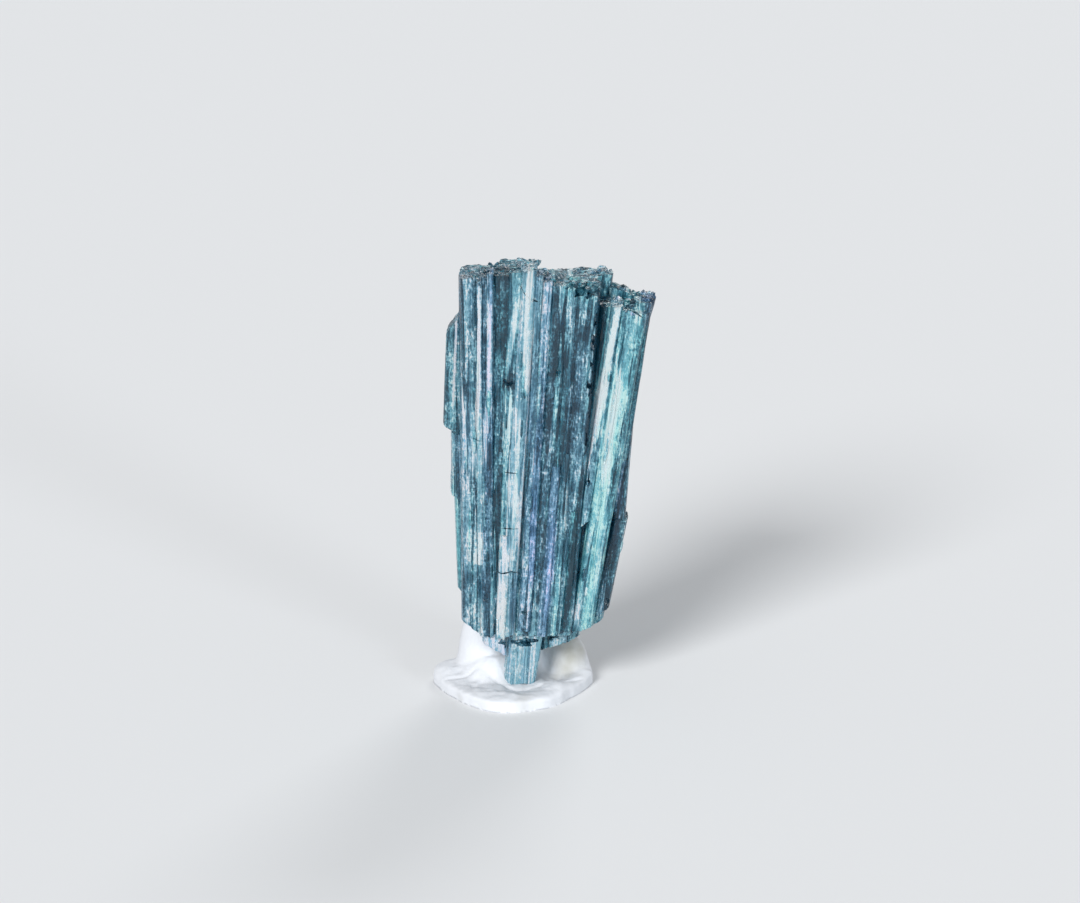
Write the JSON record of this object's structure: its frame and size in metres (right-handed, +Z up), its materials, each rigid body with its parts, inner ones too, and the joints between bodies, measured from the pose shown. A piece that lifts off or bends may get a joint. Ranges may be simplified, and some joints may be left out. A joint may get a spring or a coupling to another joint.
{
  "type": "mineral specimen",
  "caption": "Upright cluster of parallel striated blue-green tourmaline crystals, one leaning aside, standing in a pressed dab of white mounting putty.",
  "frame": {"origin": "under the middle of the specimen's bounding box, on the flat underside of the putty", "axes": "+Z up along the crystals, +X to the side that they fan out to, -Y the front"},
  "size_m": [0.0189, 0.0127, 0.0376],
  "materials": {
    "elbaite": "satin",
    "putty": "matte"
  },
  "bodies": {
    "root": {"elbaite_crystal": "elbaite", "mounting_putty": "putty"}
  },
  "joints": []
}
